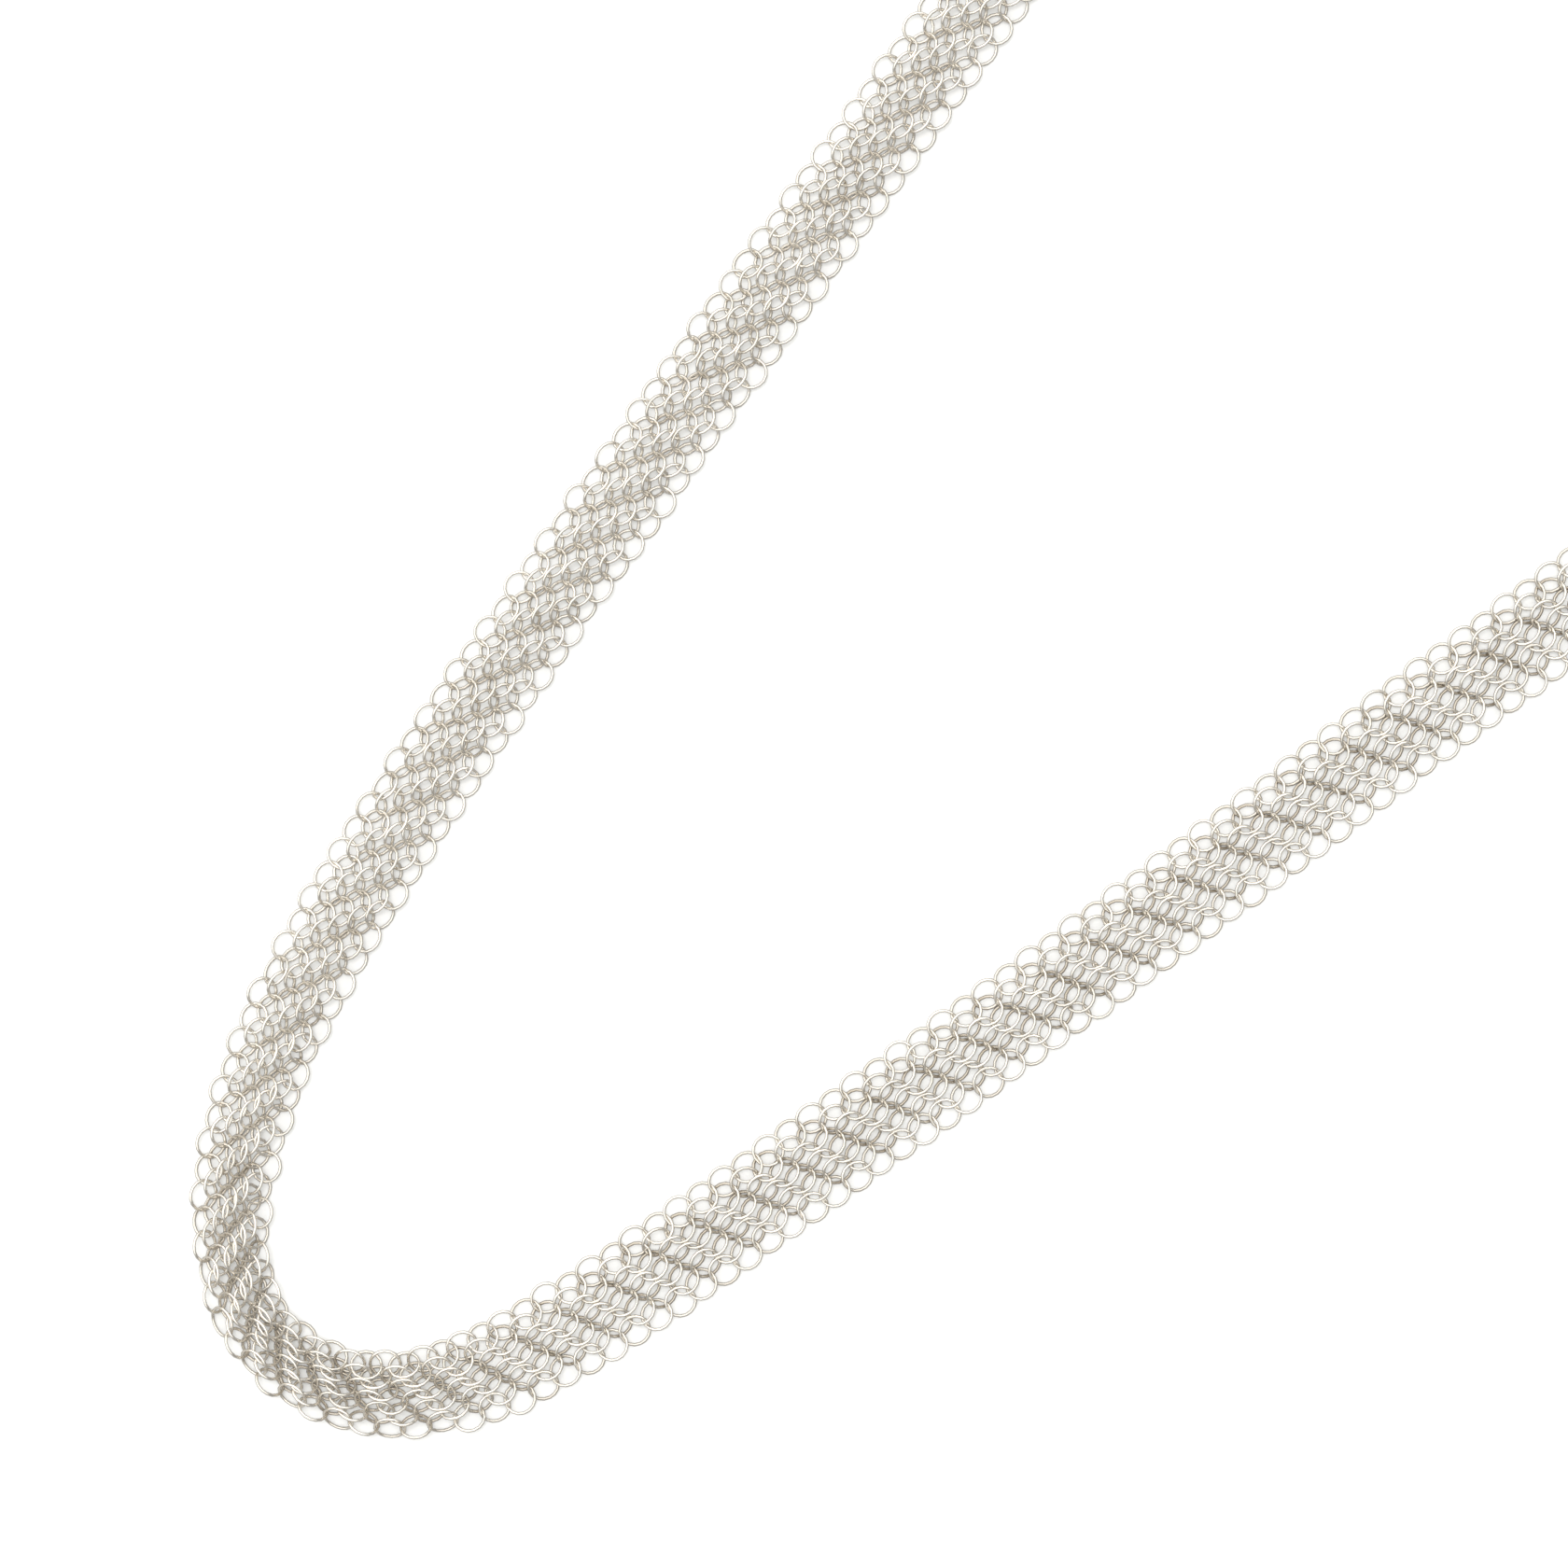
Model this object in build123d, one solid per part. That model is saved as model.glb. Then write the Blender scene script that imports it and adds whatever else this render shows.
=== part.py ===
from build123d import *
import os
from math import hypot, radians, sin, tan

# Mesh necklace lying flat on a surface, in millimetres, +Z up.
# The front bend points to -Y, the clasp is at +Y, and the underside is at Z = 0.
# The band is a flat mail of small round rings, six rows across, each ring linked
# through its four neighbours. Its solid is the band's true outline and thickness.

# Rings of the mail
ring_outer = 2.45
wire = 0.23
rows_across = 6
row_pitch = 1.03
ring_lean = 36.0

# Clasp, which both ends of the band enter
mouth_depth = 3.4
clasp_wall = 0.4
clasp_side_wall = 0.7
clasp_rounding = 0.35
fit_gap = 0.06

# Rounding of the band's long edges
band_rounding = 0.3

# Share of a run that the arc at its end takes up
arc_share = 0.45

# Route of the band's middle line, from one end in the clasp round to the other.
# Columns: x, y, and the band's width there as a share of its full width.
band_route = [
    (-2.7, 93.8, 0.96),
    (-14.5, 93.8, 0.96),
    (-27.0, 88.0, 0.96),
    (-35.9, 77.5, 0.95),
    (-39.6, 64.3, 0.95),
    (-35.8, 38.9, 0.94),
    (-31.5, 14.5, 0.93),
    (-26.5, -17.4, 0.92),
    (-20.8, -51.8, 0.93),
    (-15.8, -74.8, 0.92),
    (-10.4, -87.3, 0.82),
    (-3.1, -94.7, 0.77),
    (5.4, -95.3, 0.84),
    (12.2, -90.4, 0.96),
    (16.0, -80.5, 1.03),
    (19.7, -61.0, 1.0),
    (24.9, -30.5, 1.0),
    (29.3, -0.1, 1.0),
    (33.3, 24.5, 0.99),
    (36.2, 44.3, 0.98),
    (39.5, 64.3, 0.97),
    (35.8, 77.4, 0.96),
    (26.9, 88.0, 0.96),
    (14.3, 93.8, 0.96),
    (2.5, 93.8, 0.96),
]

# Sizes that follow from the ones above
band_width = (rows_across - 1) * row_pitch + ring_outer
band_thickness = (ring_outer - wire) * sin(radians(ring_lean)) + wire
end_lift = clasp_wall + fit_gap
end_width = band_width * band_route[0][2]
clasp_width = end_width + 2 * (fit_gap + clasp_side_wall)
clasp_thickness = band_thickness + fit_gap + clasp_wall


def unit(start, end):
    """Direction from one route point to another, of length 1."""
    dx = end[0] - start[0]
    dy = end[1] - start[1]
    length = hypot(dx, dy)
    return dx / length, dy / length


def run_lengths(points):
    """Length of each straight run of a route."""
    pairs = zip(points[:-1], points[1:])
    return [hypot(b[0] - a[0], b[1] - a[1]) for a, b in pairs]


def arc_radii(points):
    """Radius of the arc at each inner point: as large as its two runs allow."""
    runs = run_lengths(points)
    radii = []
    for i in range(1, len(points) - 1):
        before = unit(points[i - 1], points[i])
        after = unit(points[i], points[i + 1])
        turn = Vector(*before).get_angle(Vector(*after))
        radii.append(arc_share * min(runs[i - 1], runs[i]) / tan(radians(turn / 2)))
    return radii


def side_points(side):
    """Corners of one edge of the band: side is 1 for its left edge, -1 for its right."""
    corners = []
    last = len(band_route) - 1
    for i, (x, y, share) in enumerate(band_route):
        before = unit(band_route[max(i - 1, 0)], band_route[max(i, 1)])
        after = unit(band_route[min(i, last - 1)], band_route[min(i + 1, last)])
        normal = (-(before[1] + after[1]) / 2, (before[0] + after[0]) / 2)
        stretch = normal[0] ** 2 + normal[1] ** 2
        reach = side * band_width * share / 2 / stretch
        corners.append((x + normal[0] * reach, y + normal[1] * reach))
    return corners


def rounded_line(points):
    """Straight runs joined by tangent arcs."""
    return FilletPolyline(*points, radius=arc_radii(points))


def make_band():
    """The flat mail as one closed solid, lifted at its two ends by the clasp's lower wall."""
    left = side_points(1)
    right = side_points(-1)
    with BuildPart() as band:
        with BuildSketch():
            with BuildLine():
                rounded_line(left)
                Line(left[-1], right[-1])
                rounded_line(right[::-1])
                Line(right[0], left[0])
            make_face()
        extrude(amount=band_thickness)
        rims = band.faces().filter_by(Axis.Z).edges()
        ends = band.faces().filter_by(Axis.X).edges()
        fillet([edge for edge in rims if edge not in ends], band_rounding)
        mouths = [band_route[0][0] - mouth_depth, band_route[-1][0] + mouth_depth]
        with BuildSketch():
            with Locations(((mouths[0] + mouths[1]) / 2, band_route[0][1])):
                Rectangle(mouths[1] - mouths[0] + 2 * fit_gap, clasp_width)
        extrude(amount=end_lift, mode=Mode.SUBTRACT)
    return band.part


def make_clasp():
    """Plain closed clasp: a rounded block with a slot at each end for the band."""
    left_end = band_route[0][0]
    right_end = band_route[-1][0]
    middle = ((left_end + right_end) / 2, band_route[0][1])
    length = right_end - left_end + 2 * mouth_depth
    slot_depth = mouth_depth + fit_gap
    slot_height = band_thickness - end_lift + 2 * fit_gap
    slot_z = clasp_wall + slot_height / 2
    with BuildPart() as clasp:
        with Locations((*middle, clasp_thickness / 2)):
            Box(length, clasp_width, clasp_thickness)
        fillet(clasp.edges(), clasp_rounding)
        for end, outward in ((left_end, -1), (right_end, 1)):
            slot_x = end + outward * (slot_depth / 2 - fit_gap)
            with Locations((slot_x, middle[1], slot_z)):
                Box(slot_depth, end_width + 2 * fit_gap, slot_height, mode=Mode.SUBTRACT)
    return clasp.part


def report_route():
    """Prints the route's runs, turns and radii, and the lengths that follow."""
    points = [(x, y) for x, y, share in band_route]
    middle_line = rounded_line(points)
    print("runs", [round(run, 1) for run in run_lengths(points)])
    print("radii", [round(radius, 1) for radius in arc_radii(points)])
    print("band length", round(middle_line.length, 1))
    return middle_line


def main():
    os.makedirs("parts", exist_ok=True)
    middle_line = report_route()
    pieces = {"mesh_band": make_band(), "clasp": make_clasp()}
    whole = pieces["mesh_band"].bounding_box().add(pieces["clasp"].bounding_box())
    to_middle = Location((-whole.center().X, -whole.center().Y, 0))
    for name, piece in pieces.items():
        piece = to_middle * piece
        box = piece.bounding_box()
        print(name, "volume", round(piece.volume, 2), "box", box.min, box.max)
        export_step(piece, "parts/" + name + ".step")
    section = band_width * band_thickness
    print("width", round(band_width, 2), "thickness", round(band_thickness, 3))
    print("volume over full section times length",
          round(pieces["mesh_band"].volume / (section * middle_line.length), 3))


main()
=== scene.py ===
import math

import bmesh
import bpy
import numpy as np
from mathutils import Matrix, Vector


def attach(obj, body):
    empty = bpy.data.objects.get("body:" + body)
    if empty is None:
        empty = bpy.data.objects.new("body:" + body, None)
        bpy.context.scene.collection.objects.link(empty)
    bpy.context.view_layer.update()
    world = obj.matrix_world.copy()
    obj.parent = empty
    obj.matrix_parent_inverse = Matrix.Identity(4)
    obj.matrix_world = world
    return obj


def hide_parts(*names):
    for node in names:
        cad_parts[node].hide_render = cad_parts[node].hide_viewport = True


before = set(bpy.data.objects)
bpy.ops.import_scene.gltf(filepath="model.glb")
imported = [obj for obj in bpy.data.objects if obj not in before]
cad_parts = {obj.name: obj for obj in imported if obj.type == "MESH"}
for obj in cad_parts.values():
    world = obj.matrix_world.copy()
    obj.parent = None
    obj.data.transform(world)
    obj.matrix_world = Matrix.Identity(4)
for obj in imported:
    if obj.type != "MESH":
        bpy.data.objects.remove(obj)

bl_info = {
    "name": "Mesh Necklace",
    "version": (1, 0, 0),
    "blender": (4, 5, 0),
    "location": "3D View > Sidebar > Necklace",
    "description": "Lays a flat silver mail of linked rings along the band of a necklace",
    "category": "Add Mesh",
}

MM = 0.001

# Route of the band's middle line, in metres, from one end in the clasp round to the other.
# Columns: x, y, and the band's width there as a share of its full width.
BAND_ROUTE = [
    (-0.0027, 0.0938, 0.96),
    (-0.0145, 0.0938, 0.96),
    (-0.0270, 0.0880, 0.96),
    (-0.0359, 0.0775, 0.95),
    (-0.0396, 0.0643, 0.95),
    (-0.0358, 0.0389, 0.94),
    (-0.0315, 0.0145, 0.93),
    (-0.0265, -0.0174, 0.92),
    (-0.0208, -0.0518, 0.93),
    (-0.0158, -0.0748, 0.92),
    (-0.0104, -0.0873, 0.82),
    (-0.0031, -0.0947, 0.77),
    (0.0054, -0.0953, 0.84),
    (0.0122, -0.0904, 0.96),
    (0.0160, -0.0805, 1.03),
    (0.0197, -0.0610, 1.0),
    (0.0249, -0.0305, 1.0),
    (0.0293, -0.0001, 1.0),
    (0.0333, 0.0245, 0.99),
    (0.0362, 0.0443, 0.98),
    (0.0395, 0.0643, 0.97),
    (0.0358, 0.0774, 0.96),
    (0.0269, 0.0880, 0.96),
    (0.0143, 0.0938, 0.96),
    (0.0025, 0.0938, 0.96),
]
ROWS = 6

# Points of the middle line from one point of the route to the next, the spacing at which the line
# is then read, and how many of its samples the running averages reach over each way.
ROUTE_STEPS = 48
LINE_SPACING = 0.25 * MM
HEADING_REACH = 9
STEP_REACH = 8

# Distances along the line, in metres, between which the left leg gives way to the right one, and
# curvatures of the line, in 1/m, between which the front bend's crowding sets in.
LEG_CHANGE = [0.19, 0.25]
CROWDING = [30.0, 90.0]

# Room that the outermost rings leave at the band's ends.
END_ROOM = 0.1 * MM

# Seeds of the rings' strays, and of their turns and tones.
STRAY_SEED = 4
TONE_SEED = 11

# Rounds in which the mail settles, and how many of them lead the rings over to their resting poses.
SETTLING_ROUNDS = 280
SETTLING_RAMP = 90

# Heights that the mail keeps between, in the open and inside the clasp's slots.
CEILING = 1.95 * MM
CLASP_CEILING = 1.5 * MM
CLASP_FLOOR = 0.42 * MM

# The rows from the inner edge of the loop to the outer one, on each leg. Columns: place across
# as a share of the half width, and how far the row slides forward, in metres.
LEFT_ROWS = [
    (-1.0, -0.00013),
    (-0.6, -0.00008),
    (-0.2, -0.00003),
    (0.2, 0.00003),
    (0.6, 0.00008),
    (1.0, 0.00013),
]
RIGHT_ROWS = [
    (-1.0, -0.00038),
    (-0.67, 0.00018),
    (-0.25, 0.00014),
    (0.15, 0.00006),
    (0.56, -0.00005),
    (1.0, 0.00005),
]

# Shares of the painted shade on low wires that the rings along the two edges have, and those of the left
# leg.
RIM_PAINTED_SHADE = 0.35
LEFT_PAINTED_SHADE = 0.05

# How many times further the rings along the two edges stray than the others.
RIM_STRAY = 1.4

# Share of their distance from the middle line by which the outer rows draw in, in the front bend.
BEND_DRAW = 0.12

# Tilt of the rings along the two edges, in degrees. Columns: even rings, odd rings.
LEFT_RIM_LEANS = {0: (20, 32), ROWS - 1: (45, 16)}
RIGHT_RIM_LEANS = {0: (14, 20), ROWS - 1: (14, 20)}

# Colours and roughness of the bright wire and of its dull film, whose colour also paints shade low down.
SILVER = (0.96, 0.922, 0.86)
TARNISH_AND_SHADE = (0.54, 0.48, 0.395)
POLISH = 0.17

# The film: noise values between which a patch of it sets in, the height up to which its colour is
# painted as shade on low wires, the roughness that a full patch adds, and how much film the dullest
# ring has all over.
FILM_PATCHES = (0.42, 0.72)
PAINTED_SHADE_TOP = 0.9 * MM
FILM_ROUGHNESS = 0.14
DULLEST_RING = 0.25

# Fineness of the noise in the patches and in the handling marks, and how strongly the marks show.
PATCH_DETAIL = 3.0
MARK_DETAIL = 2.0
MARK_STRENGTH = 0.4

# How far the floor reaches each way, in metres, and its finish.
FLOOR_REACH = 4.0
FLOOR_ROUGHNESS = 0.6
FLOOR_SHEEN = 0.2

# Studio light: where the bright dome's middle lies, its grey from the side to that middle, and
# the soft box. Columns of the greys: cosine of the angle from the middle, and brightness.
# The dome's blue is a share of its grey.
DOME_BLUE = 0.98
DOME_MIDDLE = (-0.42, 0.0, 0.9)
DOME_GREYS = [(0.0, 0.34), (0.26, 0.4), (0.54, 1.4), (0.85, 1.5), (1.0, 1.4)]
BOX_PLACE = (-0.15, 0.0, 1.3)
BOX_SIZE = 0.4
BOX_POWER = 8.5

# Where the camera stands over the floor, the width of its sensor in millimetres, and the nearest
# and furthest distance that it sees.
CAMERA_PLACE = (-0.0008, -0.0395)
CAMERA_SENSOR = 36.0
CAMERA_CLIP = (0.01, 20.0)


def millimetres(name, description, value):
    """A length property whose default is given in millimetres."""
    return bpy.props.FloatProperty(
        name=name, description=description, default=value * MM, min=0.0, unit="LENGTH", precision=5
    )


def degrees(name, description, value):
    """An angle property whose default is given in degrees."""
    return bpy.props.FloatProperty(
        name=name, description=description, default=math.radians(value), subtype="ANGLE"
    )


def colour(name, description, value):
    """A colour property."""
    return bpy.props.FloatVectorProperty(
        name=name, description=description, default=value, size=3, min=0.0, max=1.0, subtype="COLOR"
    )


class NecklaceMailSettings(bpy.types.PropertyGroup):
    """Sizes of the rings and of the mail that they make."""

    ring_outer: millimetres("Ring", "Outer diameter of a ring", 2.45)
    wire: millimetres("Wire", "Diameter of the rings' wire", 0.23)
    band_width: millimetres("Band width", "Full width of the band, six rows across", 7.6)
    row_pitch: millimetres("Row pitch", "Step from row to row where the mail lies at its widest", 1.03)
    taut_pitch: millimetres("Taut pitch", "Longest step between the rings of a row", 1.985)
    pitch_left: millimetres("Left pitch", "Step between rings of a row on the left leg", 1.93)
    pitch_right: millimetres("Right pitch", "Step between rings of a row on the right leg", 1.97)
    lag_left: millimetres("Left lag", "Forward shift from a row to the next outer one, left leg", 1.0)
    lag_right: millimetres("Right lag", "Forward shift from a row to the next outer one, right leg", 0.76)
    lean: degrees("Lean", "Tilt of a ring about the band's length before the mail settles", 36)
    lean_left: degrees("Left lean", "Tilt of the left leg's inner even rings", 36)
    lean_left_odd: degrees("Left odd lean", "Tilt of the left leg's inner odd rings", 46)
    lean_right: degrees("Right lean", "Tilt of the right leg's inner rows", 35)
    yaw_left: degrees("Left yaw", "Turn of the left leg's rings about the upright", -12)
    split_left: millimetres("Left split", "Step outwards from even to odd rings on the left leg", 0.06)
    drag_left: millimetres("Left drag", "How far the left leg's odd rings lie behind its even ones", 0.25)
    rim_shift: millimetres("Rim shift", "How far even rings stand out along the right leg's edges", 0.06)
    bend_lean: degrees("Bend lean", "Further tilt in the front bend", 17)
    bend_rim_lean: degrees("Bend rim lean", "Further tilt of the outermost row in the front bend", 52)
    housed_lean: degrees("Housed lean", "Tilt of the rings inside the clasp", 22)
    housed_from: millimetres("Housed from", "Distance from the band's end where its rings flatten", 8.6)
    housed_run: millimetres("Housed run", "Length of band over which its rings flatten", 4.0)
    unevenness: millimetres("Unevenness", "Usual stray of a ring from its place", 0.045)
    lean_unevenness: degrees("Lean unevenness", "Usual stray of a ring from its tilt", 4)
    yaw_unevenness: degrees("Yaw unevenness", "Usual turn of a ring about the upright", 5)
    segments: bpy.props.IntProperty(
        name="Segments", description="Sides round a ring", default=16, min=10, max=16
    )
    wire_sides: bpy.props.IntProperty(
        name="Wire sides", description="Sides round the wire", default=6, min=5, max=6
    )


class NecklaceFinishSettings(bpy.types.PropertyGroup):
    """Colours and polish of the metal."""

    silver: colour("Silver", "Colour of the bright wire", SILVER)
    # Colour of the tarnish patches, which is also painted as shade on the low wires.
    tarnish_and_shade: colour("Tarnish", "Colour of the dull film that lies in places", TARNISH_AND_SHADE)
    clasp_silver: colour("Clasp silver", "Colour of the clasp", (0.66, 0.645, 0.61))
    clasp_film: colour("Clasp film", "Colour of the clasp's dull film", (0.52, 0.5, 0.46))
    polish: bpy.props.FloatProperty(
        name="Polish", description="Roughness of the polished metal", default=POLISH, min=0.02, max=1.0
    )
    clasp_polish: bpy.props.FloatProperty(
        name="Clasp polish", description="Roughness of the clasp", default=0.24, min=0.02, max=1.0
    )


class NecklaceStageSettings(bpy.types.PropertyGroup):
    """The floor, the lights and the camera."""

    floor: colour("Floor", "Colour of the floor", (0.745, 0.745, 0.74))
    # Painted reflection: a darker floor colour that only the metal's reflections show, for dark wire
    # outlines.
    painted_reflection_floor: colour("Mirrored floor", "Colour that the metal mirrors", (0.39, 0.377, 0.356))
    camera_height: bpy.props.FloatProperty(
        name="Camera height", description="Height of the camera above the floor",
        default=0.5, unit="LENGTH"
    )
    view_width: bpy.props.FloatProperty(
        name="View width", description="Width of the floor that the camera sees",
        default=0.1147, unit="LENGTH"
    )
    view_turn: bpy.props.FloatProperty(
        name="View turn", description="Turn of the picture about the upright",
        default=math.radians(44.75), subtype="ANGLE"
    )


def band_line():
    """Points of the smooth middle line, read from its NURBS spline: x, y and width share."""
    curve = bpy.data.curves.new("band_line", "CURVE")
    curve.dimensions = "3D"
    spline = curve.splines.new("NURBS")
    spline.points.add(len(BAND_ROUTE) - 1)
    for point, (x, y, share) in zip(spline.points, BAND_ROUTE):
        point.co = (x, y, share, 1.0)
    spline.order_u = 3
    spline.use_endpoint_u = True
    spline.resolution_u = ROUTE_STEPS
    carrier = bpy.data.objects.new("band_line", curve)
    bpy.context.collection.objects.link(carrier)
    mesh = bpy.data.meshes.new_from_object(carrier)
    points = np.array([vertex.co[:] for vertex in mesh.vertices])
    bpy.data.objects.remove(carrier)
    bpy.data.meshes.remove(mesh)
    bpy.data.curves.remove(curve)
    return points


class BandLine:
    """The band's middle line at an even spacing, with its heading, curvature and width share."""

    def __init__(self):
        points = band_line()
        steps = np.hypot(*np.diff(points[:, :2], axis=0).T)
        along = np.concatenate([[0.0], np.cumsum(steps)])
        self.length = along[-1]
        self.along = np.linspace(0.0, self.length, int(self.length / LINE_SPACING))
        self.x, self.y, self.share = (np.interp(self.along, along, points[:, i]) for i in range(3))
        heading = np.arctan2(np.gradient(self.y, self.along), np.gradient(self.x, self.along))
        self.heading = smoothed(np.unwrap(heading), HEADING_REACH)
        self.bend = smoothed(np.gradient(self.heading, self.along), HEADING_REACH)

    def at(self, along, name):
        """One of the line's columns at given distances along it."""
        return np.interp(along, self.along, getattr(self, name))


def smoothed(values, reach):
    """Running average with soft ends over reach samples each way."""
    kernel = np.hanning(2 * reach + 3)[1:-1]
    padded = np.pad(values, reach, mode="edge")
    return np.convolve(padded, kernel / kernel.sum(), "valid")


def right_share(along):
    """How far the left leg's spacing has given way to the right leg's: 0 to 1."""
    return np.interp(along, LEG_CHANGE, [0.0, 1.0])


def bend_share(bend):
    """How fully the front bend's crowding acts at a given curvature: 0 to 1."""
    return np.interp(bend, CROWDING, [0.0, 1.0])


def ring_places(line, mail):
    """Row, number in the row and distance along the line of every ring."""
    front = right_share(line.along)
    pitch = mail.pitch_left + front * (mail.pitch_right - mail.pitch_left)
    lag = mail.lag_left + front * (mail.lag_right - mail.lag_left)
    outer_reach = (ROWS - 1) / 2 * mail.row_pitch
    tight = mail.taut_pitch / (1 + np.maximum(line.bend, 0) * outer_reach)
    step = smoothed(np.minimum(pitch, tight), STEP_REACH)
    count = np.concatenate([[0.0], np.cumsum(np.diff(line.along) * 2 / (step[1:] + step[:-1]))])
    margin = mail.ring_outer / 2 + END_ROOM
    rows, numbers, places = [], [], []
    for row in range(ROWS):
        index = count - (row - (ROWS - 1) / 2) * lag / pitch
        first, last = np.interp([margin, line.length - margin], line.along, index)
        number = np.arange(math.ceil(first), math.floor(last) + 1)
        rows.append(np.full(len(number), row))
        numbers.append(number)
        places.append(np.interp(number, index, line.along))
    return np.concatenate(rows), np.concatenate(numbers), np.concatenate(places)


def leaning_rings(line, mail, number, along, across, lean):
    """Centres and plane normals of rings that lean in turn to the left and to the right."""
    heading = line.at(along, "heading")
    flat = np.zeros(len(along))
    outward = np.stack([np.sin(heading), -np.cos(heading), flat], 1)
    forward = np.stack([np.cos(heading), np.sin(heading), flat], 1)
    radius = (mail.ring_outer - mail.wire) / 2
    centre = np.stack([line.at(along, "x"), line.at(along, "y"), radius * np.sin(lean) + mail.wire / 2], 1)
    centre += outward * across[:, None]
    rising = -outward * np.cos(lean)[:, None]
    rising[:, 2] = np.where(number % 2 == 0, 1, -1) * np.sin(lean)
    normal = np.cross(forward, rising)
    normal[normal[:, 2] < 0] *= -1
    return centre, normal


def rim_leans(table, row, even):
    """Tilt of each ring along the edges from a table of them, in radians."""
    columns = np.array([table.get(index, (0, 0)) for index in range(ROWS)])[row]
    return np.radians(np.where(even, columns[:, 0], columns[:, 1]))


def resting_poses(line, mail, row, number, along, chance):
    """Where each ring would rest by itself, and how far it lies inside the clasp: 0 to 1."""
    even = number % 2 == 0
    front = right_share(along)
    share = line.at(along, "share")
    place_left, slide_left = np.array(LEFT_ROWS)[row].T
    place_right, slide_right = np.array(RIGHT_ROWS)[row].T
    tight = bend_share(line.at(along, "bend"))
    rim = (row == 0) | (row == ROWS - 1)
    place = place_left + front * (place_right - place_left)
    from_end = np.minimum(along, line.length - along)
    housed = np.clip((mail.housed_from - from_end) / mail.housed_run, 0, 1)
    free_left = (1 - front) * (1 - housed)
    across = place * (mail.band_width * share - mail.ring_outer) / 2
    across -= np.maximum(across, 0) * BEND_DRAW * tight
    odd = np.where(even, -1, 1)
    across -= np.where(rim, odd * np.sign(place), 0) * mail.rim_shift * front
    across += np.where(rim, 0, odd) * mail.split_left / 2 * free_left
    slide = (slide_left + front * (slide_right - slide_left)) * (1 - tight)
    slide = slide - odd * mail.drag_left / 2 * free_left
    left_rim, right_rim = rim_leans(LEFT_RIM_LEANS, row, even), rim_leans(RIGHT_RIM_LEANS, row, even)
    rim_lean = left_rim + front * (right_rim - left_rim)
    left_lean = np.where(even, mail.lean_left, mail.lean_left_odd)
    lean = np.where(rim, rim_lean, left_lean + front * (mail.lean_right - left_lean))
    lean = lean + tight * np.where(row == ROWS - 1, mail.bend_rim_lean, mail.bend_lean)
    lean = lean + housed * (mail.housed_lean - lean)
    uneven = (1 - housed) * np.where(rim, RIM_STRAY, 1)
    lean = lean + chance.normal(0, mail.lean_unevenness, len(row)) * uneven
    across = across + chance.normal(0, mail.unevenness, len(row)) * uneven
    slide = slide + chance.normal(0, mail.unevenness, len(row)) * uneven
    centre, normal = leaning_rings(line, mail, number, along + slide, across, lean)
    yaw = mail.yaw_left * free_left + chance.normal(0, mail.yaw_unevenness, len(row)) * uneven
    x, y, z = normal.T
    normal = np.stack([x * np.cos(yaw) - y * np.sin(yaw), x * np.sin(yaw) + y * np.cos(yaw), z], 1)
    return centre, normal, housed


def unit(vectors):
    """Vectors of length 1 along the given ones."""
    return vectors / np.linalg.norm(vectors, axis=1)[:, None]


def ring_axes(normals):
    """Two axes in the plane of each ring. A ring that faces nearly along X starts from Y instead."""
    nearly = 0.9
    helper = np.where(np.abs(normals[:, :1]) < nearly, [[1.0, 0.0, 0.0]], [[0.0, 1.0, 0.0]])
    first = unit(np.cross(normals, helper))
    return first, np.cross(normals, first)


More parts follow.
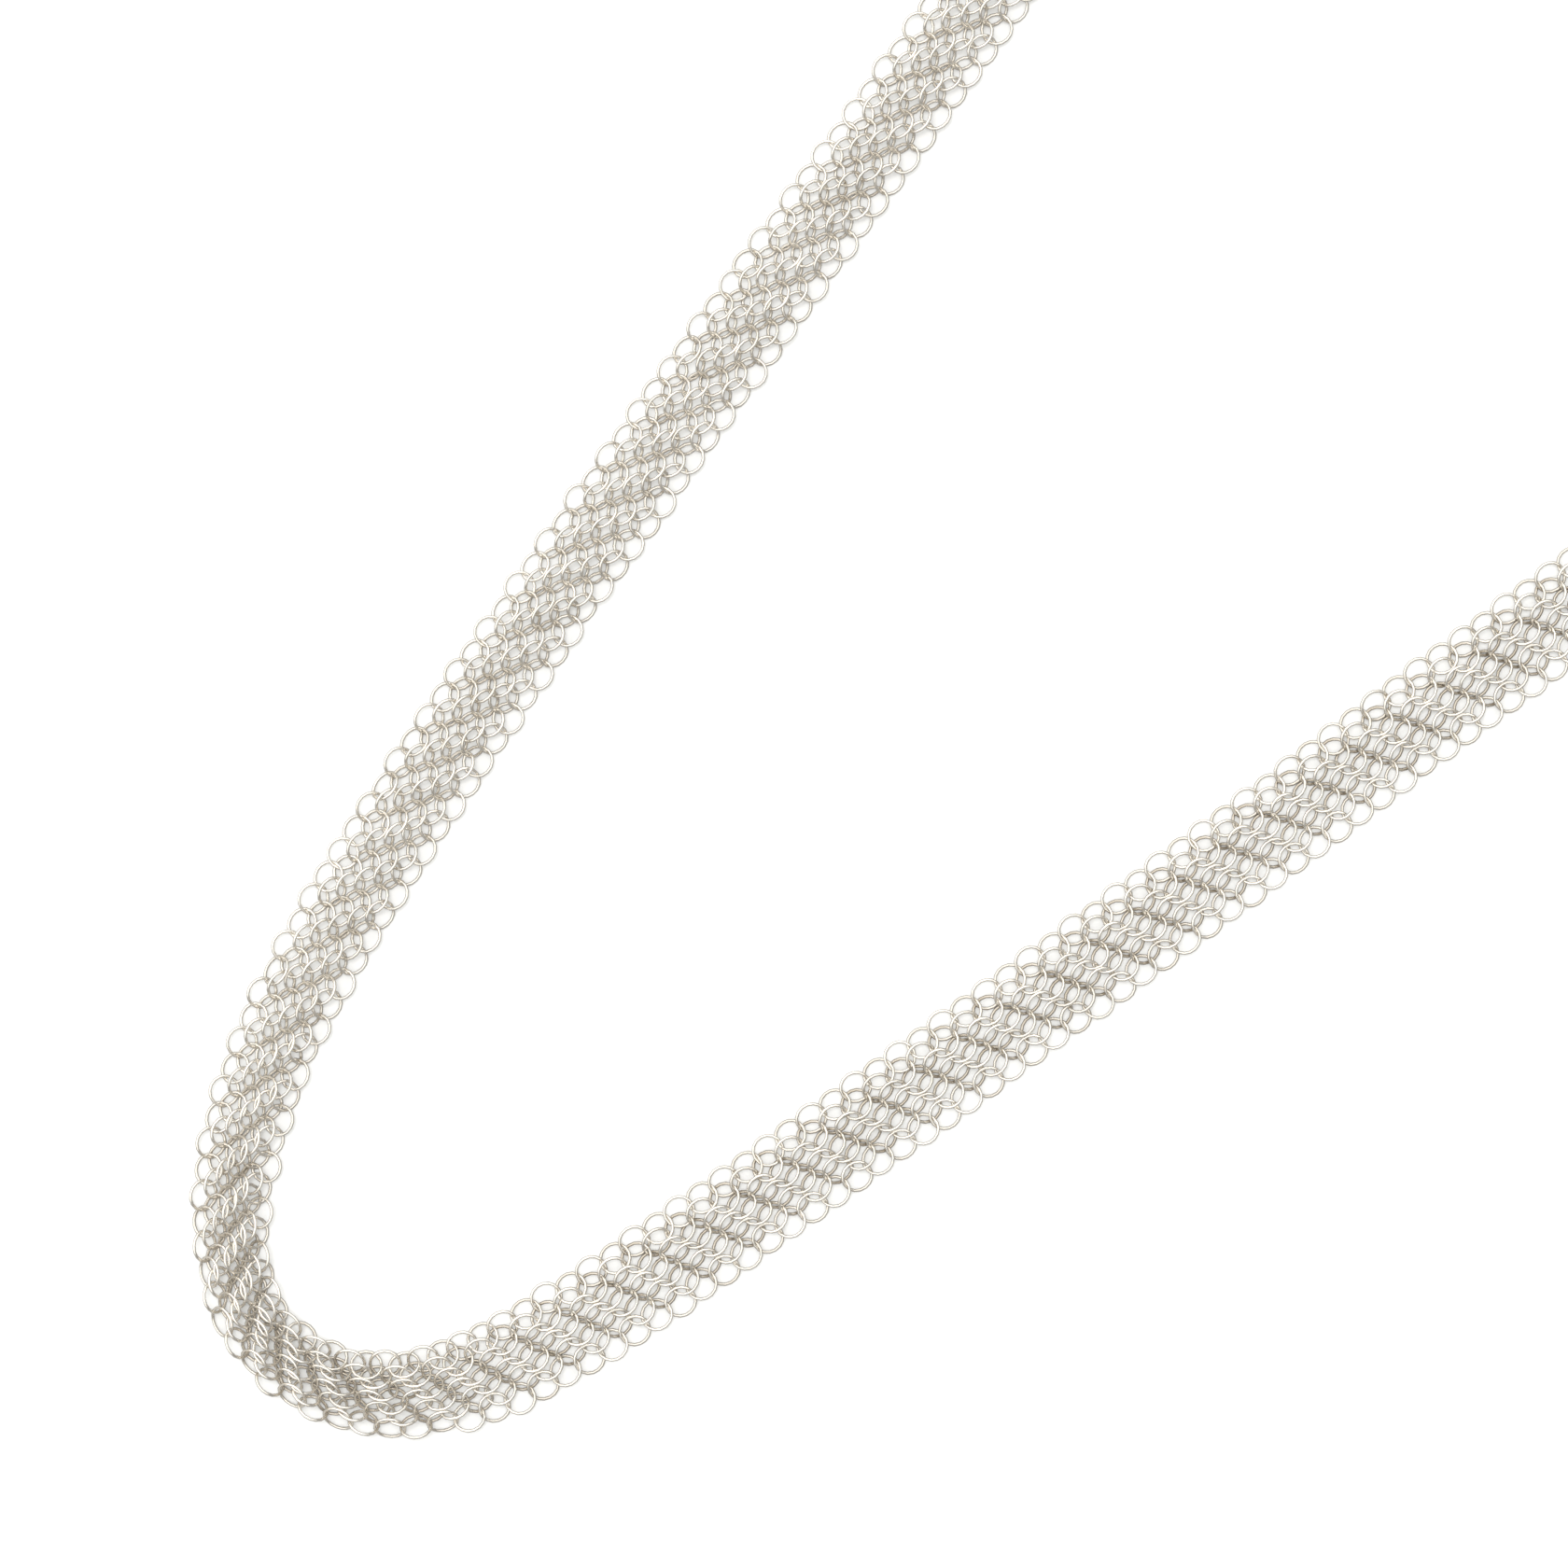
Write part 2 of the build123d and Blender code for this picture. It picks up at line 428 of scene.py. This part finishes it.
class RingBed:
    """Linked rigid rings on the floor, which give way until no two wires overlap."""

    # Points round each ring in the rough search for the nearest ones.
    SAMPLES = 20
    # How far from touching two rings are still watched, as a share of the wire.
    WATCH = 0.3
    # Furthest slide of a nearest point in one refinement, as a share of the ring's radius.
    SLIDE = 0.2
    # Least stiffness at which a refinement trusts the rings' curvature.
    STIFF = 0.1
    # Gap that the wires keep, and how far each round lets a ring sink.
    SPARE = 0.006 * MM
    SINK = 0.004 * MM
    # How strongly each round draws a ring to its place, its height and its tilt.
    PLACE_PULL = 0.1
    HEIGHT_PULL = 0.015
    TILT_PULL = 0.06
    # Shares of the rounds between which that pull fades out.
    FADE = (0.6, 0.85)
    # Rounds between two rough searches, refinements after a search, and pushes in a round.
    SEARCH = 6
    FIRST_REFINEMENTS = 3
    PUSHES = 2
    # What a ring takes of the pushes on it: all of a few ones, a part each of many.
    WHOLE_PUSH = 0.96
    FEW_PUSHES = 1.6
    LEAST_PUSH = 0.21
    # Least distance and least slope that are divided by.
    LEAST_APART = 1e-7
    LEAST_SLOPE = 1e-9

    def __init__(self, centres, normals, radius, wire, low, high):
        self.centre = centres.copy()
        self.normal = normals.copy()
        self.radius = radius
        self.wire = wire
        self.low = low
        self.high = high

    def find_pairs(self):
        """Every two rings that are near enough to touch, with rough nearest points."""
        reach = 2 * self.radius + (1 + self.WATCH) * self.wire
        square = (self.centre ** 2).sum(1)
        apart = square[:, None] + square[None] - 2 * self.centre @ self.centre.T
        one, two = np.nonzero(apart < reach ** 2)
        self.one, self.two = one[one < two], two[one < two]
        first, second = ring_axes(self.normal)
        angle = np.linspace(0, math.tau, self.SAMPLES, endpoint=False)[None, :, None]
        points = self.centre[:, None] + self.radius * (
            np.cos(angle) * first[:, None] + np.sin(angle) * second[:, None]
        )
        here, there = points[self.one], points[self.two]
        gaps = (here ** 2).sum(2)[:, :, None] + (there ** 2).sum(2)[:, None]
        gaps = (gaps - 2 * np.matmul(here, there.transpose(0, 2, 1))).reshape(len(self.one), -1)
        best = gaps.argmin(1)
        pair = np.arange(len(self.one))
        self.here = here[pair, best // self.SAMPLES]
        self.there = there[pair, best % self.SAMPLES]
        self.refine(self.FIRST_REFINEMENTS)

    def on_ring(self, centre, normal, point):
        """The point of a ring that is nearest to a given point."""
        arm = point - centre
        arm = arm - (arm * normal).sum(1)[:, None] * normal
        return centre + self.radius * unit(arm)

    def refine(self, rounds):
        """Slides the nearest points of each pair along their rings to where they are truly nearest."""
        centre_a, centre_b = self.centre[self.one], self.centre[self.two]
        normal_a, normal_b = self.normal[self.one], self.normal[self.two]
        here = self.on_ring(centre_a, normal_a, self.here)
        there = self.on_ring(centre_b, normal_b, self.there)
        most = self.SLIDE * self.radius
        for _ in range(rounds):
            arm_a, arm_b = (here - centre_a) / self.radius, (there - centre_b) / self.radius
            along_a, along_b = np.cross(normal_a, arm_a), np.cross(normal_b, arm_b)
            gap = here - there
            stiff_a = 1 - (gap * arm_a).sum(1) / self.radius
            stiff_b = 1 + (gap * arm_b).sum(1) / self.radius
            shared = -(along_a * along_b).sum(1)
            slope_a, slope_b = (gap * along_a).sum(1), -(gap * along_b).sum(1)
            scale = stiff_a * stiff_b - shared ** 2
            flat = (scale < self.STIFF) | (stiff_a < self.STIFF) | (stiff_b < self.STIFF)
            scale = np.where(flat, 1, scale)
            move_a = np.where(flat, -slope_a / 2, -(stiff_b * slope_a - shared * slope_b) / scale)
            move_b = np.where(flat, -slope_b / 2, -(stiff_a * slope_b - shared * slope_a) / scale)
            here = here + np.clip(move_a, -most, most)[:, None] * along_a
            there = there + np.clip(move_b, -most, most)[:, None] * along_b
            here = self.on_ring(centre_a, normal_a, here)
            there = self.on_ring(centre_b, normal_b, there)
        self.here, self.there = here, there

    def turn(self, swing):
        """Turns each ring by a small rotation vector."""
        self.normal = unit(self.normal + np.cross(swing, self.normal))

    def arm_and_ease(self, ring, point, push):
        """Turning arm of a push at a point of a ring, and how easily the ring gives way there."""
        normal = self.normal[ring]
        arm = np.cross(point - self.centre[ring], push)
        arm -= (arm * normal).sum(1)[:, None] * normal
        return arm, 1 + (arm ** 2).sum(1) * 2 / self.radius ** 2

    def part_wires(self, need):
        """Pushes apart the rings whose wires are nearer than they may be."""
        gap = self.here - self.there
        apart = np.linalg.norm(gap, axis=1)
        hit = apart < need
        one, two, apart = self.one[hit], self.two[hit], apart[hit]
        push = gap[hit] / np.maximum(apart, self.LEAST_APART)[:, None]
        arm_a, ease_a = self.arm_and_ease(one, self.here[hit], push)
        arm_b, ease_b = self.arm_and_ease(two, self.there[hit], push)
        share = ((need - apart) / (ease_a + ease_b))[:, None]
        swing = 2 / self.radius ** 2
        move_a = np.hstack([push * share, arm_a * share * swing])
        move_b = np.hstack([-push * share, -arm_b * share * swing])
        rings = np.concatenate([one, two])
        both = np.concatenate([move_a, move_b])
        count = len(self.centre)
        total = np.stack([np.bincount(rings, column, count) for column in both.T], 1)
        touches = np.bincount(rings, minlength=count)
        part = np.maximum(self.WHOLE_PUSH / np.maximum(touches, self.FEW_PUSHES), self.LEAST_PUSH)[:, None]
        self.centre += total[:, :3] * part
        self.turn(total[:, 3:] * part)

    def keep_between(self):
        """Lifts what is under the floor and presses down what stands too high."""
        slope = np.sqrt(np.maximum(1 - self.normal[:, 2] ** 2, self.LEAST_SLOPE))
        rise = self.radius * slope
        steepest = (np.array([0.0, 0.0, 1.0]) - self.normal[:, 2:] * self.normal) / slope[:, None]
        half = self.wire / 2
        sunk = np.maximum(self.low + half - (self.centre[:, 2] - rise), 0)
        proud = np.maximum(self.centre[:, 2] + rise + half - self.high, 0)
        arm = np.cross(steepest * self.radius, [0.0, 0.0, 1.0])
        ease = 1 + (arm ** 2).sum(1) * 2 / self.radius ** 2
        self.centre[:, 2] += (sunk - proud) / ease
        self.turn(arm * (-(sunk + proud) / ease * 2 / self.radius ** 2)[:, None])

    def settle(self, centres, normals, rounds, ramp):
        """Draws the rings towards given poses, and lets them come to rest against each other."""
        start_centre, start_normal = self.centre.copy(), self.normal.copy()
        need = self.wire + self.SPARE
        for step in range(rounds):
            share = min(1.0, (step + 1) / ramp)
            ease = np.interp(step / rounds, self.FADE, [1.0, 0.0])
            away = start_centre + share * (centres - start_centre) - self.centre
            self.centre += away * [self.PLACE_PULL, self.PLACE_PULL, self.HEIGHT_PULL] * ease
            self.centre[:, 2] -= self.SINK * ease
            wanted = start_normal + share * (normals - start_normal)
            self.normal = unit(self.normal + (wanted - self.normal) * self.TILT_PULL * ease)
            if step % self.SEARCH == 0:
                self.find_pairs()
            for _ in range(self.PUSHES):
                self.refine(1)
                self.part_wires(need)
            self.keep_between()


def ring_poses(line, mail):
    """Row, distance along, centre and plane normal of every ring as it lies in the mail."""
    row, number, along = ring_places(line, mail)
    even_across = (row - (ROWS - 1) / 2) * mail.row_pitch
    start = leaning_rings(line, mail, number, along, even_across, np.full(len(row), mail.lean))
    chance = np.random.default_rng(STRAY_SEED)
    centre, normal, housed = resting_poses(line, mail, row, number, along, chance)
    top = CEILING + housed * (CLASP_CEILING - CEILING)
    radius = (mail.ring_outer - mail.wire) / 2
    bed = RingBed(*start, radius, mail.wire, low=CLASP_FLOOR * housed, high=top)
    bed.settle(centre, normal, SETTLING_ROUNDS, SETTLING_RAMP)
    return row, along, bed.centre, bed.normal


def ring_shape(mail):
    """One ring of wire as a template: its points and its faces.

    Its corners stand out a little, so that its sides keep the wire's mean radius.
    """
    bm = bmesh.new()
    radius = (mail.ring_outer - mail.wire) / 2 / math.sqrt(math.cos(math.pi / mail.segments))
    bmesh.ops.create_circle(
        bm, segments=mail.wire_sides, radius=mail.wire / 2,
        matrix=Matrix.Translation((radius, 0, 0)) @ Matrix.Rotation(math.radians(90), 4, "X"),
    )
    bmesh.ops.spin(
        bm, geom=bm.edges[:], cent=(0, 0, 0), axis=(0, 0, 1), angle=math.tau,
        steps=mail.segments, use_merge=True,
    )
    bmesh.ops.recalc_face_normals(bm, faces=bm.faces[:])
    bm.verts.index_update()
    points = np.array([vertex.co[:] for vertex in bm.verts])
    faces = np.array([[vertex.index for vertex in face.verts] for face in bm.faces])
    bm.free()
    return points, faces


def joined_rings(name, centres, normals, turns, tones, painted_shades, template):
    """One mesh of many rings, each a copy of the template at its own place and tilt."""
    points, faces = template
    first, second = ring_axes(normals)
    turned = np.cos(turns)[:, None] * first + np.sin(turns)[:, None] * second
    aside = np.cross(normals, turned)
    axes = np.stack([turned, aside, normals], 1)
    placed = np.einsum("pk,rkc->rpc", points, axes) + centres[:, None]
    numbered = faces[None] + (np.arange(len(centres)) * len(points))[:, None, None]
    mesh = bpy.data.meshes.new(name)
    mesh.from_pydata(placed.reshape(-1, 3), [], numbered.reshape(-1, faces.shape[1]).tolist())
    mesh.shade_smooth()
    # Per ring: its random tone, and its share of the painted shade on the low wires.
    for attribute, values in (("ring_tone", tones), ("ring_painted_shade", painted_shades)):
        column = mesh.attributes.new(attribute, "FLOAT", "POINT")
        column.data.foreach_set("value", np.repeat(values, len(points)))
    piece = bpy.data.objects.new(name, mesh)
    bpy.context.collection.objects.link(piece)
    return piece


def silver_wear_and_shade_group():
    """Shared effect: patches of dull film, painted shade on the low wires, and fine handling marks on
    silver.
    """
    group = bpy.data.node_groups.new("silver_wear_and_shade", "ShaderNodeTree")
    for socket, kind, value in (
        ("Silver", "NodeSocketColor", (*SILVER, 1)),
        ("Film and shade", "NodeSocketColor", (*TARNISH_AND_SHADE, 1)),
        ("Film amount", "NodeSocketFloat", 0.2),
        # Painted shade: how strongly the film colour darkens the low wires, and up to what height.
        ("Painted low shade", "NodeSocketFloat", 0.5),
        ("Painted shade top", "NodeSocketFloat", PAINTED_SHADE_TOP),
        ("Patch size", "NodeSocketFloat", 400.0),
        ("Polish", "NodeSocketFloat", POLISH),
        ("Mark size", "NodeSocketFloat", 4000.0),
    ):
        group.interface.new_socket(name=socket, in_out="INPUT", socket_type=kind).default_value = value
    for socket, kind in (
        ("Colour", "NodeSocketColor"), ("Roughness", "NodeSocketFloat"), ("Height", "NodeSocketFloat"),
    ):
        group.interface.new_socket(name=socket, in_out="OUTPUT", socket_type=kind)
    nodes, links = group.nodes, group.links
    given = nodes.new("NodeGroupInput")
    result = nodes.new("NodeGroupOutput")
    place = nodes.new("ShaderNodeTexCoord")
    patches = nodes.new("ShaderNodeTexNoise")
    patches.inputs["Detail"].default_value = PATCH_DETAIL
    links.new(place.outputs["Object"], patches.inputs["Vector"])
    links.new(given.outputs["Patch size"], patches.inputs["Scale"])
    spread = nodes.new("ShaderNodeMapRange")
    spread.inputs["From Min"].default_value = FILM_PATCHES[0]
    spread.inputs["From Max"].default_value = FILM_PATCHES[1]
    links.new(patches.outputs["Fac"], spread.inputs["Value"])
    amount = nodes.new("ShaderNodeMath")
    amount.operation = "MULTIPLY"
    links.new(spread.outputs["Result"], amount.inputs[0])
    links.new(given.outputs["Film amount"], amount.inputs[1])
    parts = nodes.new("ShaderNodeSeparateXYZ")
    links.new(place.outputs["Object"], parts.inputs["Vector"])
    # Painted shade: the wires take the film colour low down, fully at the floor and none at the set
    # height.
    low_shade_depth = nodes.new("ShaderNodeMapRange")
    low_shade_depth.interpolation_type = "SMOOTHSTEP"
    low_shade_depth.inputs["From Min"].default_value = 0.0
    low_shade_depth.inputs["To Min"].default_value = 1.0
    low_shade_depth.inputs["To Max"].default_value = 0.0
    links.new(parts.outputs["Z"], low_shade_depth.inputs["Value"])
    links.new(given.outputs["Painted shade top"], low_shade_depth.inputs["From Max"])
    # Tarnish patches plus the painted shade on the low wires.
    film = nodes.new("ShaderNodeMath")
    film.operation = "MULTIPLY_ADD"
    film.use_clamp = True
    links.new(low_shade_depth.outputs["Result"], film.inputs[0])
    links.new(given.outputs["Painted low shade"], film.inputs[1])
    links.new(amount.outputs[0], film.inputs[2])
    mix = nodes.new("ShaderNodeMix")
    mix.data_type = "RGBA"
    links.new(film.outputs[0], mix.inputs["Factor"])
    links.new(given.outputs["Silver"], mix.inputs["A"])
    links.new(given.outputs["Film and shade"], mix.inputs["B"])
    links.new(mix.outputs["Result"], result.inputs["Colour"])
    marks = nodes.new("ShaderNodeTexNoise")
    marks.inputs["Detail"].default_value = MARK_DETAIL
    links.new(place.outputs["Object"], marks.inputs["Vector"])
    links.new(given.outputs["Mark size"], marks.inputs["Scale"])
    rough = nodes.new("ShaderNodeMath")
    rough.operation = "MULTIPLY_ADD"
    rough.inputs[1].default_value = FILM_ROUGHNESS
    links.new(amount.outputs[0], rough.inputs[0])
    links.new(given.outputs["Polish"], rough.inputs[2])
    links.new(rough.outputs[0], result.inputs["Roughness"])
    links.new(marks.outputs["Fac"], result.inputs["Height"])
    return group


def silver_material(
    name, silver, tarnish_and_shade, polish, film, low_shade, patch_size, mark_size, mark_depth, ring_tones
):
    """Silver with the shared wear and painted shade.

    With ring_tones, some rings are a little duller than others, and the painted shade on the low
    wires depends on the ring.
    """
    material = bpy.data.materials.new(name)
    material.use_nodes = True
    nodes, links = material.node_tree.nodes, material.node_tree.links
    shader = nodes["Principled BSDF"]
    shader.inputs["Metallic"].default_value = 1.0
    wear_and_shade = nodes.new("ShaderNodeGroup")
    wear_and_shade.node_tree = bpy.data.node_groups.get("silver_wear_and_shade") or silver_wear_and_shade_group()
    wear_and_shade.inputs["Silver"].default_value = (*silver, 1)
    wear_and_shade.inputs["Film and shade"].default_value = (*tarnish_and_shade, 1)
    wear_and_shade.inputs["Film amount"].default_value = film
    wear_and_shade.inputs["Painted low shade"].default_value = low_shade
    wear_and_shade.inputs["Patch size"].default_value = patch_size
    wear_and_shade.inputs["Polish"].default_value = polish
    wear_and_shade.inputs["Mark size"].default_value = mark_size
    colour_out = wear_and_shade.outputs["Colour"]
    if ring_tones:
        # Painted shade: each ring's share of the darker colour on its low wires.
        painted_shade_attribute = nodes.new("ShaderNodeAttribute")
        painted_shade_attribute.attribute_name = "ring_painted_shade"
        low_shade_share = nodes.new("ShaderNodeMath")
        low_shade_share.operation = "MULTIPLY"
        low_shade_share.inputs[1].default_value = low_shade
        links.new(painted_shade_attribute.outputs["Fac"], low_shade_share.inputs[0])
        links.new(low_shade_share.outputs[0], wear_and_shade.inputs["Painted low shade"])
        tone = nodes.new("ShaderNodeAttribute")
        tone.attribute_name = "ring_tone"
        duller = nodes.new("ShaderNodeMix")
        duller.data_type = "RGBA"
        duller.inputs["B"].default_value = (*tarnish_and_shade, 1)
        scaled = nodes.new("ShaderNodeMath")
        scaled.operation = "MULTIPLY"
        scaled.inputs[1].default_value = DULLEST_RING
        links.new(tone.outputs["Fac"], scaled.inputs[0])
        links.new(scaled.outputs[0], duller.inputs["Factor"])
        links.new(colour_out, duller.inputs["A"])
        colour_out = duller.outputs["Result"]
    links.new(colour_out, shader.inputs["Base Color"])
    links.new(wear_and_shade.outputs["Roughness"], shader.inputs["Roughness"])
    bump = nodes.new("ShaderNodeBump")
    bump.inputs["Distance"].default_value = mark_depth
    bump.inputs["Strength"].default_value = MARK_STRENGTH
    links.new(wear_and_shade.outputs["Height"], bump.inputs["Height"])
    links.new(bump.outputs["Normal"], shader.inputs["Normal"])
    return material


class NECKLACE_OT_ring_mail(bpy.types.Operator):
    """Lay the linked rings along the band, one piece for each row"""

    bl_idname = "necklace.ring_mail"
    bl_label = "Ring mail"

    def execute(self, context):
        mail = context.scene.necklace_mail
        line = BandLine()
        row, along, centre, normal = ring_poses(line, mail)
        chance = np.random.default_rng(TONE_SEED)
        turns = chance.uniform(0, math.tau, len(row))
        tones = chance.uniform(0, 1, len(row)) ** 2
        # Painted shade on the low wires: less along the edges and on the left leg, which lie in more
        # light.
        painted_shades = np.where((row == 0) | (row == ROWS - 1), RIM_PAINTED_SHADE, 1)
        painted_shades = painted_shades * (LEFT_PAINTED_SHADE + (1 - LEFT_PAINTED_SHADE) * right_share(along))
        template = ring_shape(mail)
        finish = context.scene.necklace_finish
        silver = silver_material(
            "silver_wire", finish.silver, finish.tarnish_and_shade, finish.polish, film=0.2, low_shade=0.95,
            patch_size=350.0, mark_size=6000.0, mark_depth=0.004 * MM, ring_tones=True,
        )
        for index in range(ROWS):
            mine = row == index
            piece = joined_rings(
                f"mail_row_{index + 1}", centre[mine], normal[mine], turns[mine], tones[mine],
                painted_shades[mine], template,
            )
            piece.data.materials.append(silver)
            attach(piece, "root")
            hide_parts("mesh_band")
        return {"FINISHED"}


class NECKLACE_OT_clasp(bpy.types.Operator):
    """Give the clasp its polished silver"""

    bl_idname = "necklace.clasp"
    bl_label = "Clasp"

    def execute(self, context):
        finish = context.scene.necklace_finish
        silver = silver_material(
            "silver_clasp", finish.clasp_silver, finish.clasp_film, finish.clasp_polish, film=0.6,
            low_shade=0.0, patch_size=260.0, mark_size=1500.0, mark_depth=0.02 * MM, ring_tones=False,
        )
        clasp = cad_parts["clasp"]
        clasp.data.materials.clear()
        clasp.data.materials.append(silver)
        return {"FINISHED"}


class NECKLACE_OT_stage(bpy.types.Operator):
    """Make the floor, the soft lights and the camera"""

    bl_idname = "necklace.stage"
    bl_label = "Stage"

    def execute(self, context):
        stage = context.scene.necklace_stage
        self.make_floor(stage)
        self.make_world(context.scene)
        self.make_lights()
        self.make_camera(context.scene, stage)
        return {"FINISHED"}

    def make_floor(self, stage):
        """A plain pale floor, whose colour in the metal's reflections is a darker painted reflection, so
        that the wires keep a painted dark outline.
        """
        bm = bmesh.new()
        bmesh.ops.create_grid(bm, x_segments=1, y_segments=1, size=FLOOR_REACH)
        mesh = bpy.data.meshes.new("floor")
        bm.to_mesh(mesh)
        bm.free()
        floor = bpy.data.objects.new("floor", mesh)
        bpy.context.collection.objects.link(floor)
        material = bpy.data.materials.new("floor")
        material.use_nodes = True
        nodes, links = material.node_tree.nodes, material.node_tree.links
        shader = nodes["Principled BSDF"]
        # Painted reflection: the metal sees the floor darker than the camera does, which paints dark
        # outlines along the wires.
        path = nodes.new("ShaderNodeLightPath")
        floor_or_painted_reflection = nodes.new("ShaderNodeMix")
        floor_or_painted_reflection.data_type = "RGBA"
        floor_or_painted_reflection.inputs["A"].default_value = (*stage.floor, 1)
        floor_or_painted_reflection.inputs["B"].default_value = (*stage.painted_reflection_floor, 1)
        links.new(path.outputs["Is Glossy Ray"], floor_or_painted_reflection.inputs["Factor"])
        links.new(floor_or_painted_reflection.outputs["Result"], shader.inputs["Base Color"])
        shader.inputs["Roughness"].default_value = FLOOR_ROUGHNESS
        shader.inputs["Specular IOR Level"].default_value = FLOOR_SHEEN
        mesh.materials.append(material)

    def make_world(self, scene):
        """Soft light from a wide bright dome whose middle leans to one side, over darker walls."""
        world = bpy.data.worlds.new("studio")
        scene.world = world
        world.use_nodes = True
        nodes, links = world.node_tree.nodes, world.node_tree.links
        background = nodes["Background"]
        place = nodes.new("ShaderNodeTexCoord")
        facing = nodes.new("ShaderNodeVectorMath")
        facing.operation = "DOT_PRODUCT"
        facing.inputs[1].default_value = Vector(DOME_MIDDLE).normalized()
        ramp = nodes.new("ShaderNodeValToRGB")
        stops = ramp.color_ramp.elements
        while len(stops) < len(DOME_GREYS):
            stops.new(0.5)
        for stop, (position, grey) in zip(stops, DOME_GREYS):
            stop.position = position
            stop.color = (grey, grey, grey * DOME_BLUE, 1)
        links.new(place.outputs["Generated"], facing.inputs[0])
        links.new(facing.outputs["Value"], ramp.inputs["Fac"])
        links.new(ramp.outputs["Color"], background.inputs["Color"])
        background.inputs["Strength"].default_value = 1.0

    def make_lights(self):
        """One large soft box overhead, which the metal doesn't mirror."""
        light = bpy.data.lights.new("top_box", "AREA")
        light.shape = "SQUARE"
        light.size = BOX_SIZE
        light.energy = BOX_POWER
        lamp = bpy.data.objects.new("top_box", light)
        lamp.location = BOX_PLACE
        lamp.rotation_euler = (-Vector(BOX_PLACE)).to_track_quat("-Z", "Y").to_euler()
        lamp.visible_glossy = False
        bpy.context.collection.objects.link(lamp)

    def make_camera(self, scene, stage):
        """A camera that looks straight down at the front of the necklace."""
        data = bpy.data.cameras.new("camera")
        data.sensor_width = CAMERA_SENSOR
        data.lens = CAMERA_SENSOR * stage.camera_height / stage.view_width
        data.clip_start, data.clip_end = CAMERA_CLIP
        camera = bpy.data.objects.new("camera", data)
        camera.location = (*CAMERA_PLACE, stage.camera_height)
        camera.rotation_euler = (0, 0, stage.view_turn)
        bpy.context.collection.objects.link(camera)
        scene.camera = camera
        scene.view_settings.view_transform = "Standard"


class NECKLACE_PT_panel(bpy.types.Panel):
    """Lists the steps and the sizes that they use"""

    bl_label = "Mesh Necklace"
    bl_idname = "NECKLACE_PT_panel"
    bl_space_type = "VIEW_3D"
    bl_region_type = "UI"
    bl_category = "Necklace"

    def draw(self, context):
        for step in STEPS:
            self.layout.operator(step.bl_idname)
        for name in SETTINGS:
            settings = getattr(context.scene, name)
            for value in settings.bl_rna.properties.keys():
                if value not in ("rna_type", "name"):
                    self.layout.prop(settings, value)


STEPS = (NECKLACE_OT_stage, NECKLACE_OT_ring_mail, NECKLACE_OT_clasp)
SETTINGS = {
    "necklace_mail": NecklaceMailSettings,
    "necklace_finish": NecklaceFinishSettings,
    "necklace_stage": NecklaceStageSettings,
}


def register():
    """Adds the classes and their settings to Blender."""
    for kind in (*SETTINGS.values(), *STEPS, NECKLACE_PT_panel):
        bpy.utils.register_class(kind)
    for name, kind in SETTINGS.items():
        setattr(bpy.types.Scene, name, bpy.props.PointerProperty(type=kind))


def unregister():
    """Takes the settings and the classes out of Blender again."""
    for name in SETTINGS:
        delattr(bpy.types.Scene, name)
    for kind in (NECKLACE_PT_panel, *STEPS[::-1], *list(SETTINGS.values())[::-1]):
        bpy.utils.unregister_class(kind)


def main():
    """Builds the whole scene."""
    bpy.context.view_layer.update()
    register()
    bpy.ops.necklace.stage()
    bpy.ops.necklace.ring_mail()
    bpy.ops.necklace.clasp()


if __name__ == "__main__":
    main()
